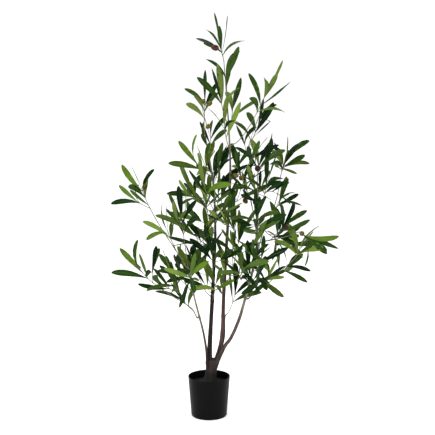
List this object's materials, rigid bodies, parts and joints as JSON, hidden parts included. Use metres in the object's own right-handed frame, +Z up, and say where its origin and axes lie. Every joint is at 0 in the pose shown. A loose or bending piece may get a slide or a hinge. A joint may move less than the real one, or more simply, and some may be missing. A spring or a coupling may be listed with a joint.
{
  "type": "artificial potted olive tree",
  "caption": "Artificial olive tree with four slim stems, sprays of narrow green leaves and small olives, set in cement in a plain round black pot that stands on a floor.",
  "frame": {"origin": "middle of the pot's flat underside, on the surface the pot stands on", "axes": "+Z up along the trunk; the pictured front looks along -Y and +X is to the right in the picture"},
  "size_m": [0.6649, 0.5822, 1.2015],
  "materials": {
    "pot_black": "satin",
    "cement": "matte",
    "bark": "matte",
    "leaf_light": "satin",
    "leaf_mid": "satin",
    "leaf_dark": "satin"
  },
  "bodies": {
    "root": {"pot": "pot_black", "fill": "cement", "trunk": "bark", "stem_left": "bark", "stem_middle": "bark", "stem_right": "bark", "stem_outer_left": "bark", "bough_low_left": "bark", "bough_far_left": "bark", "bough_low_right": "bark", "bough_far_right": "bark", "bough_upper_right": "bark", "spray_top": "leaf_dark", "spray_leader_high": "leaf_mid", "spray_leader_left": "leaf_light", "spray_leader_right": "leaf_mid", "spray_leader_low": "leaf_light", "spray_left_top": "leaf_mid", "spray_left_top_back": "leaf_dark", "spray_left_high_outer": "leaf_light", "spray_inner_high": "leaf_dark", "spray_inner_mid": "leaf_dark", "spray_left_mid": "leaf_light", "spray_outer_top": "leaf_dark", "spray_far_left_tip": "leaf_mid", "spray_far_left_low": "leaf_light", "spray_low_left_tip": "leaf_mid", "spray_low_left_mid": "leaf_dark", "spray_low_left_under": "leaf_mid", "spray_low_inner_left": "leaf_mid", "spray_centre_dark": "leaf_dark", "spray_centre_light": "leaf_light", "spray_centre_low": "leaf_mid", "spray_inner_left": "leaf_mid", "spray_centre_right": "leaf_light", "spray_centre_right_low": "leaf_dark", "spray_right_low_upright": "leaf_dark", "spray_right_low_outer": "leaf_dark", "spray_far_right_low_tip": "leaf_light", "spray_far_right_low_mid": "leaf_mid", "spray_far_right_tip": "leaf_mid", "spray_far_right_inner": "leaf_dark", "spray_right_mid": "leaf_mid", "spray_right_top": "leaf_dark", "spray_right_high_left": "leaf_dark", "spray_right_high_right": "leaf_dark", "spray_upper_right_tip": "leaf_dark", "spray_upper_right_mid": "leaf_mid", "spray_high_right": "leaf_light", "spray_high_right_back": "leaf_dark", "spray_front_low": "leaf_mid", "spray_back_low": "leaf_dark", "spray_back_mid": "leaf_mid", "spray_front_mid": "leaf_light", "spray_back_high": "leaf_dark", "spray_front_high": "leaf_dark", "spray_back_right": "leaf_mid", "spray_front_left": "leaf_mid", "spray_back_left": "leaf_dark", "spray_front_right": "leaf_dark"}
  },
  "joints": []
}
